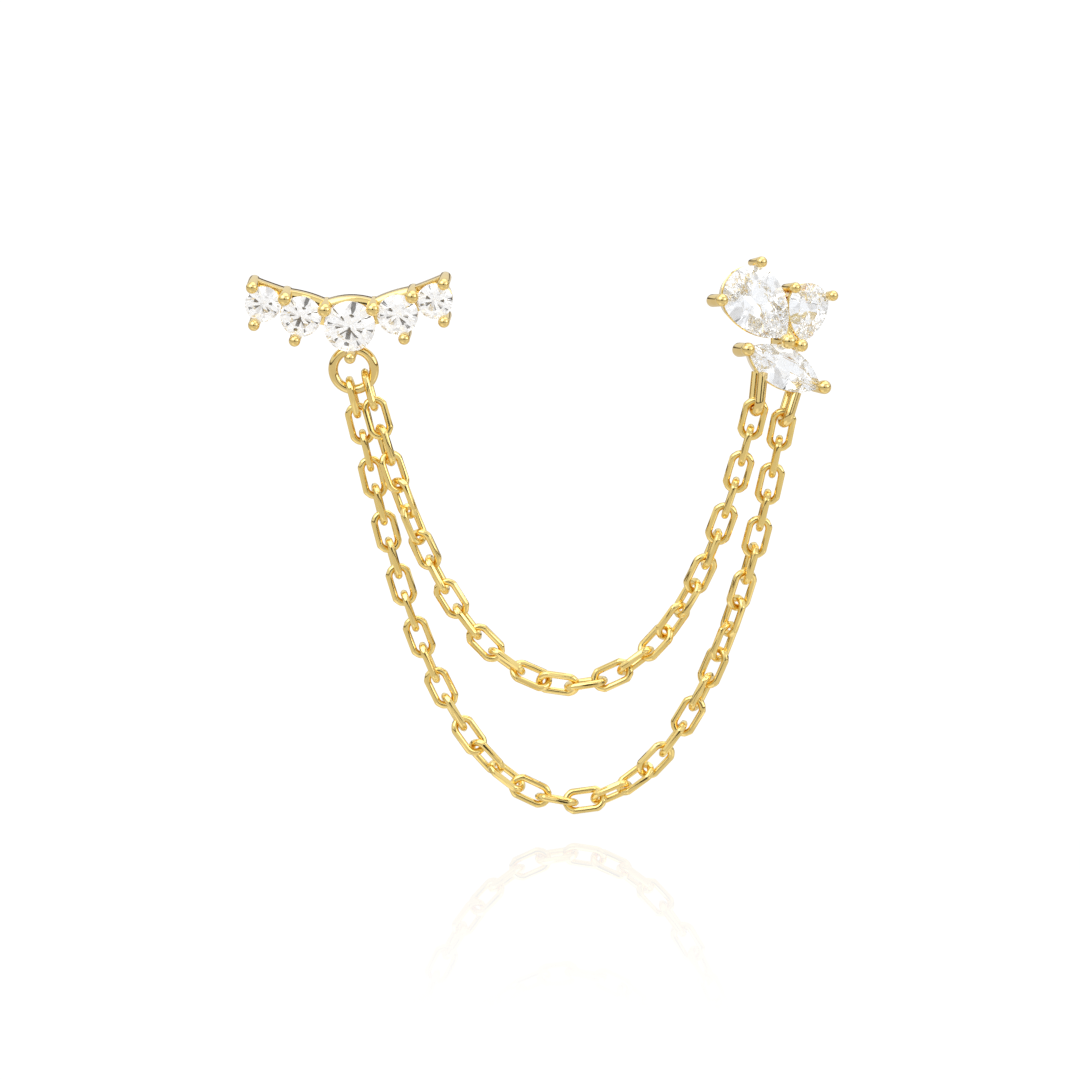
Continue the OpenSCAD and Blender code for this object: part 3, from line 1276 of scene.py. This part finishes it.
@dataclass
class ClusterStud:
    """The cluster: two pears and a marquise, with two loops for the chains."""

    metal: Metalwork
    turn: float = 18
    lean: float = 12
    swing: float = 3
    at: Spot = (19.99, 1.11, 0.71)
    post_at: Point = (0.5, 0.6)
    # Node, cut, width, length, x, y, turn and depth of pavilion of each stone.
    stones: tuple[tuple[str, Cut, float, float, float, float, float, float], ...] = (
        ("pear_large", Cut.PEAR, 3.0, 4.1, -1.18, 1.02, -49.5, 0.86),
        ("pear_small", Cut.PEAR, 2.0, 2.9, 1.72, 0.68, -99.5, 0.91),
        ("marquise", Cut.MARQUISE, 2.0, 4.15, 0.46, -2.46, -27.3, 0.86),
    )
    # x, y, bead radius and thickness of the back end of each prong.
    prongs: tuple[tuple[float, float, float, float], ...] = (
        (-0.88, 2.68, 0.28, 0.60),
        (-2.90, 0.82, 0.32, 1.00),
        (0.57, -1.16, 0.39, 1.00),
        (0.86, 1.44, 0.27, 0.80),
        (2.79, 1.06, 0.26, 0.65),
        (1.19, -1.36, 0.32, 1.00),
        (-1.55, -1.57, 0.34, 1.05),
        (2.37, -3.39, 0.34, 0.65),
    )
    # x, y, lean and length of the limbs of each loop.
    loops: tuple[tuple[float, float, float, float], ...] = (
        (-0.74, -4.57, 6, 1.45),
        (0.70, -5.11, 18, 1.05),
    )
    web: tuple[Point, Point, float] = ((0.66, -1.10), (1.02, -0.20), 0.34)
    mains: int = 12
    prong_foot: float = 0.7
    collet_share: float = 0.8
    loop_depth: float = 1.15
    loop_wire: float = 0.25
    loop_half: float = 0.5

    def place(self) -> Matrix:
        """From the cluster's bench plane to the frame."""
        return (
            Matrix.Scale(MM, 4)
            @ Matrix.Translation(self.at)
            @ Matrix.Rotation(math.radians(self.swing), 4, "Z")
            @ Matrix.Rotation(math.radians(-self.lean), 4, "X")
            @ Matrix.Rotation(math.radians(self.turn), 4, "Z")
            @ Matrix.Rotation(math.pi / 2, 4, "X")
        )

    def _stones(self) -> Iterator[tuple[Stone, Matrix]]:
        """Plans each stone round its own origin.

        Yields:
            The stone and its place on the bench plane.
        """
        for node, cut, width, length, x, y, turn, deep in self.stones:
            outline, spun = Outline(cut, width, length), Matrix.Rotation(math.radians(turn), 4, "Z")
            stone = Stone(node, outline, Matrix(), pavilion=deep, mains=self.mains)
            yield stone, Matrix.Translation((x, y, 0)) @ spun

    def cut_stones(self) -> list[Stone]:
        """The three stones, each at its place."""
        whole, lift = self.place(), Matrix.Translation((0, 0, self.metal.girdle))
        return [replace(stone, place=whole @ place @ lift) for stone, place in self._stones()]

    def loop(self, at: Point, lean: float, limb: float) -> Piece:
        """A loop for a chain: half a torus with its open ends drawn up into limbs.

        Args:
            at: Bottom of the wire on the bench plane.
            lean: Lean of the loop in degrees.
            limb: Length of the limbs.

        Returns:
            The loop.
        """
        bpy.ops.mesh.primitive_torus_add(
            major_segments=64,
            minor_segments=24,
            major_radius=self.loop_half,
            minor_radius=self.loop_wire,
            rotation=(0, math.pi / 2, 0),
        )
        piece = Hand.settled()
        with Hand.editing(piece):
            bpy.ops.mesh.bisect(
                plane_co=(0, 0, 0), plane_no=(0, 1, 0), clear_outer=True, threshold=CUT_REACH
            )
            Hand.pick(piece, lambda co: co.y > -TOUCH)
            bpy.ops.mesh.extrude_region_move(TRANSFORM_OT_translate={"value": (0, limb, 0)})
            bpy.ops.mesh.fill_holes(sides=0)
        Hand.heal(piece)
        place = (
            Matrix.Translation((at[0], at[1], self.loop_depth))
            @ Matrix.Rotation(math.radians(-lean), 4, "Z")
            @ Matrix.Translation((0, self.loop_half, 0))
        )
        return Hand.placed(piece, place)

    def front(self) -> list[Piece]:
        """Makes the collets, prongs and web, and cuts the stones' seats into them.

        Returns:
            The parts.
        """
        metal, seats, parts = self.metal, [], []
        for stone, place in self._stones():
            seats.append(metal.seat(stone, place))
            parts.append(metal.collet(stone.outline, 0, self.collet_share, place))
        for x, y, radius, back in self.prongs:
            parts.append(metal.prong((x, y), radius, self.prong_foot, back))
        parts.append(metal.web(*self.web))
        return metal.seated(parts, seats)

    def build(self) -> Piece:
        """Makes the cluster's metal.

        Returns:
            The piece.
        """
        metal, parts = self.metal, self.front()
        parts += [self.loop((x, y), lean, limb) for x, y, lean, limb in self.loops]
        for stone, place in self._stones():
            at, width = place.translation.xy, stone.outline.width
            parts.append(metal.rod_past(self.post_at, at, width, self.collet_share))
        parts += metal.ear_post(self.post_at)
        placed = [Hand.placed(part, self.place()) for part in parts]
        return metal.soldered("cluster_metal", "cluster_setting", placed)


# --- Chains ---


@dataclass
class CableChain:
    """A cable chain whose links are cut flat on their outer sides."""

    node: str
    wire: float = 0.178
    length: float = 2.19
    width: float = 1.32
    side_cuts: tuple[tuple[int, float], ...] = ((90, 0.035), (52, 0.026), (22, 0.018))
    edge_cut: float = 0.022
    smooth: float = 28
    merge: float = 0.001

    def link(self) -> Piece:
        """One link along X, lying in XY, in millimetres.

        Returns:
            The link.
        """
        bend = self.width / 2 - self.wire
        straight = (self.length - self.width) / 2
        bpy.ops.mesh.primitive_torus_add(
            major_segments=40, minor_segments=16, major_radius=bend, minor_radius=self.wire
        )
        piece = bpy.context.object
        with Hand.editing(piece):
            bpy.ops.mesh.bisect(plane_co=(0, 0, 0), plane_no=(1, 0, 0), threshold=CUT_REACH)
            for side in (-1, 1):
                Hand.pick(piece, lambda co: co.x * side > TOUCH)
                bpy.ops.transform.translate(value=(side * straight, 0, 0))
            for out, reach in self.flats():
                Hand.sliced(out * reach, out)
        return Hand.heal(piece, 2 * TOUCH)

    def flats(self) -> list[tuple[Vector, float]]:
        """The cuts on a link's outer sides.

        Returns:
            Direction and distance from the middle of each cut.
        """
        half, straight = self.width / 2, (self.length - self.width) / 2
        cuts = []
        for degrees, depth in self.side_cuts:
            for turn in {degrees, 180 - degrees, -degrees, degrees - 180}:
                angle = math.radians(turn)
                out = Vector((math.cos(angle), math.sin(angle), 0))
                cuts.append((out, half + straight * abs(out.x) - depth))
        for way in (Vector((0, 1, 0)), Vector((1, 0, 0))):
            middle = half - self.wire + straight * way.x
            for side, lift in ((1, 1), (1, -1), (-1, 1), (-1, -1)):
                out = (way * side + Vector((0, 0, lift))).normalized()
                cuts.append((out, middle * math.sqrt(0.5) + self.wire - self.edge_cut))
        return cuts

    def places(self) -> list[Matrix]:
        """Reads where each link of the CAD chain lies, from its long, wide and thin sides.

        Returns:
            A place for each link.
        """
        whole = Hand.copied(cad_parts[self.node])
        whole.parent = None
        Hand.heal(whole, self.merge * MM)
        Hand.take(whole)
        bpy.ops.mesh.separate(type="LOOSE")
        parts = list(bpy.context.selected_objects)
        found = []
        for part in parts:
            points = np.array([vert.co[:] for vert in part.data.vertices])
            middle = points.mean(0)
            _, sides = np.linalg.eigh(np.cov((points - middle).T))
            axis, side = sides[:, 2], sides[:, 1]
            turn = Matrix(np.column_stack([axis, side, np.cross(axis, side)]).tolist())
            found.append(Matrix.Translation(middle.tolist()) @ turn.to_4x4())
        Hand.drop(*parts)
        return found

    def build(self, finish: Finish) -> Piece:
        """Hangs a copy of the link at each place of the chain.

        Args:
            finish: The chain's gold.

        Returns:
            The piece.
        """
        pattern, small = self.link(), Matrix.Scale(MM, 4)
        links = [Hand.placed(Hand.copied(pattern), place @ small) for place in self.places()]
        Hand.drop(pattern)
        piece = Hand.joined("links_" + self.node, links)
        return ride(Hand.smoothed(piece, self.smooth), finish, "chain_gold", self.node)


# --- Studio ---


@dataclass
class Studio:
    """Floor, lights and camera."""

    azimuth: float = 3.0
    elevation: float = 12.0
    distance: float = 0.7317
    lens: float = 500.0
    sensor: float = 36.0
    clip_start: float = 0.001
    target: Spot = (0.00926, -0.00162, -0.00990)
    floor_side: float = 6.0
    floor_gap: float = 0.00075
    floor_glow: Colour = (0.70, 0.66, 0.60, 1.0)
    floor_light: float = 1.065
    # The floor mirrors more and more towards the object, and not behind it.
    mirror_front: tuple[Point, Point] = ((-0.050, -0.002), (0.0, 0.26))
    mirror_back: tuple[Point, Point] = ((0.002, 0.010), (1.0, 0.0))
    mirror_haze: float = 0.02
    # The dark lens, as metal and as stones see it, and the pale flags that stones see.
    lens_angle: float = 13.0
    lens_in_stones: float = 6.0
    lens_shade: Colour = (0.06, 0.055, 0.05, 1.0)
    flag_scale: float = 3.1
    flag_detail: float = 1.5
    flag_level: float = 0.58
    flag_light: Colour = (1.08, 1.08, 1.08, 1.0)
    flag_dark: Colour = (0.77, 0.76, 0.75, 1.0)
    white: Colour = (1.0, 1.0, 1.0, 1.0)
    # Name, direction, side in metres and power in watts of each soft box.
    lamp_distance: float = 0.4
    lamps: tuple[tuple[str, Spot, float, float], ...] = (
        ("key_box", (-0.7, -0.8, 1.3), 0.30, 0.5),
        ("top_box", (0.2, 0.2, 1.0), 0.40, 0.6),
        ("side_box", (1.2, -0.5, 0.5), 0.20, 0.2),
    )
    bounces: int = 28
    sky: tuple[tuple[float, Colour], ...] = (
        (0.00, (0.70, 0.68, 0.65, 1.0)),
        (0.49, (0.62, 0.58, 0.52, 1.0)),
        (0.505, (0.10, 0.07, 0.04, 1.0)),
        (0.535, (0.10, 0.07, 0.04, 1.0)),
        (0.57, (0.86, 0.85, 0.83, 1.0)),
        (0.80, (1.00, 1.00, 1.00, 1.0)),
        (0.95, (0.66, 0.63, 0.58, 1.0)),
    )

    def _to_lens(self) -> Vector:
        """Direction from the object to the camera."""
        a, e = math.radians(self.azimuth), math.radians(self.elevation)
        return Vector((math.sin(a) * math.cos(e), -math.cos(a) * math.cos(e), math.sin(e)))

    def _aimed(self, data: bpy.types.ID, out: Vector, distance: float) -> Piece:
        """Hangs a camera or lamp that faces the object.

        Args:
            data: The camera or light.
            out: Direction from the object.
            distance: Its distance in metres.

        Returns:
            The camera's or lamp's object.
        """
        made = bpy.data.objects.new(data.name, data)
        bpy.context.collection.objects.link(made)
        made.location = Vector(self.target) + out * distance
        made.rotation_mode = "QUATERNION"
        made.rotation_quaternion = (-out).to_track_quat("-Z", "Y")
        return made

    def camera(self) -> None:
        """Sets the camera at the photograph's viewing angle."""
        data = bpy.data.cameras.new("camera")
        data.lens, data.sensor_width, data.clip_start = self.lens, self.sensor, self.clip_start
        bpy.context.scene.camera = self._aimed(data, self._to_lens(), self.distance)

    def floor(self, low: float) -> None:
        """Lays the plain white floor, which faintly mirrors what hangs over it.

        Args:
            low: Lowest point of the object.
        """
        height = low - self.floor_gap
        bpy.ops.mesh.primitive_plane_add(size=self.floor_side, location=(0, 0, height))
        floor = Hand.settled()
        floor.name = "floor"
        made, mixer = Mixer.material("studio_floor")
        ahead = mixer.parts(mixer.node("TexCoord", {}, {}, "Object"))[1]
        bounced = mixer.node("LightPath", {}, {}, "Is Glossy Ray")
        inside = mixer.node("LightPath", {}, {}, "Is Transmission Ray")
        share = mixer.ramp(ahead, *self.mirror_front) * mixer.ramp(ahead, *self.mirror_back)
        shine = mixer.blend(bounced * (1 - inside), self.white, self.floor_glow)
        glow = mixer.node("Emission", {}, {"Color": shine, "Strength": self.floor_light})
        polish = {"Color": self.white, "Roughness": self.mirror_haze}
        gloss = mixer.node("BsdfGlossy", {}, polish)
        mixer.coat(mixer.node("MixShader", {}, {0: share, 1: glow, 2: gloss}))
        floor.data.materials.append(made)
        floor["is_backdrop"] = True

    def world(self) -> None:
        """Fills the studio with soft white light, with darker bands and a dark lens.

        The stones see pale flags all round instead of the bands.
        """
        world = bpy.data.worlds.new("studio")
        world.use_nodes = True
        bpy.context.scene.world = world
        mixer = Mixer(world.node_tree)
        way = mixer.node("TexCoord", {}, {}, "Generated")
        seen = mixer.node("LightPath", {}, {}, "Is Camera Ray")
        inside = mixer.node("LightPath", {}, {}, "Is Transmission Ray")
        height = mixer.parts(way)[2] * 0.5 + 0.5
        bands = mixer.node("ValToRGB", {"stops": self.sky}, {"Fac": height}, "Color")
        ways = {0: way, 1: self._to_lens()}
        near = mixer.node("VectorMath", {"operation": "DOT_PRODUCT"}, ways, "Value")
        wide, small = (math.cos(math.radians(a)) for a in (self.lens_angle, self.lens_in_stones))
        lens = near.above(wide - inside * (wide - small))
        spots = {"Vector": way, "Scale": self.flag_scale, "Detail": self.flag_detail}
        flags = mixer.node("TexNoise", {}, spots, "Fac").above(self.flag_level)
        for_stones = mixer.blend(flags, self.flag_light, self.flag_dark)
        shade = mixer.blend(inside, bands, for_stones)
        shade = mixer.blend(lens, shade, self.lens_shade)
        shade = mixer.blend(seen, shade, self.white)
        sky = mixer.node("Background", {}, {"Color": shade, "Strength": 1.0})
        mixer.node("OutputWorld", {}, {"Surface": sky})

    def soft_boxes(self) -> None:
        """Hangs the soft boxes."""
        for name, way, size, power in self.lamps:
            data = bpy.data.lights.new(name, "AREA")
            data.size, data.energy = size, power
            lamp = self._aimed(data, Vector(way).normalized(), self.lamp_distance)
            lamp.visible_camera = False

    def build(self, low: float) -> None:
        """Sets up the whole studio.

        Args:
            low: Lowest point of the object.
        """
        self.camera()
        self.world()
        self.floor(low)
        self.soft_boxes()
        scene = bpy.context.scene
        scene.view_settings.view_transform = "Standard"
        scene.cycles.max_bounces = self.bounces
        scene.cycles.glossy_bounces = scene.cycles.transmission_bounces = self.bounces


def main() -> None:
    """Builds the earring's pieces and the studio."""
    logging.basicConfig(level=logging.INFO, format="%(message)s")
    cad_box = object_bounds()
    Studio().build(cad_box[0].z)
    gold = GoldPlate(
        "gold_plate", (0.90, 0.715, 0.32, 1), (0.83, 0.63, 0.25, 1), polish=0.07
    )
    # Near-white metal for the seats and the faces under the stones: painted light, so the stones
    # look bright.
    seat = GoldPlate(
        "seat_painted_light", (0.97, 0.95, 0.91, 1), (0.96, 0.94, 0.89, 1), polish=0.09, wander=0.04
    )
    cut_gold = GoldPlate(
        "cut_gold_plate", (0.93, 0.74, 0.31, 1), (0.88, 0.67, 0.24, 1), polish=0.10
    )
    clear = ClearStone("clear_stone").material()
    soft = ClearStone(
        "soft_clear_stone", (0.875, 0.905, 0.95, 1), (0.91, 0.92, 0.94, 1), haze=0.06
    ).material()
    metal = Metalwork(gold.material(), seat.material())
    bar, cluster = BarStud(metal), ClusterStud(metal)
    for stone in bar.cut_stones():
        stone.build(clear)
    for stone in cluster.cut_stones():
        stone.build(soft)
    bar.build()
    cluster.build()
    chain_gold = cut_gold.material()
    for node in ("chain_inner", "chain_outer"):
        CableChain(node).build(chain_gold)


if __name__ == "__main__":
    main()
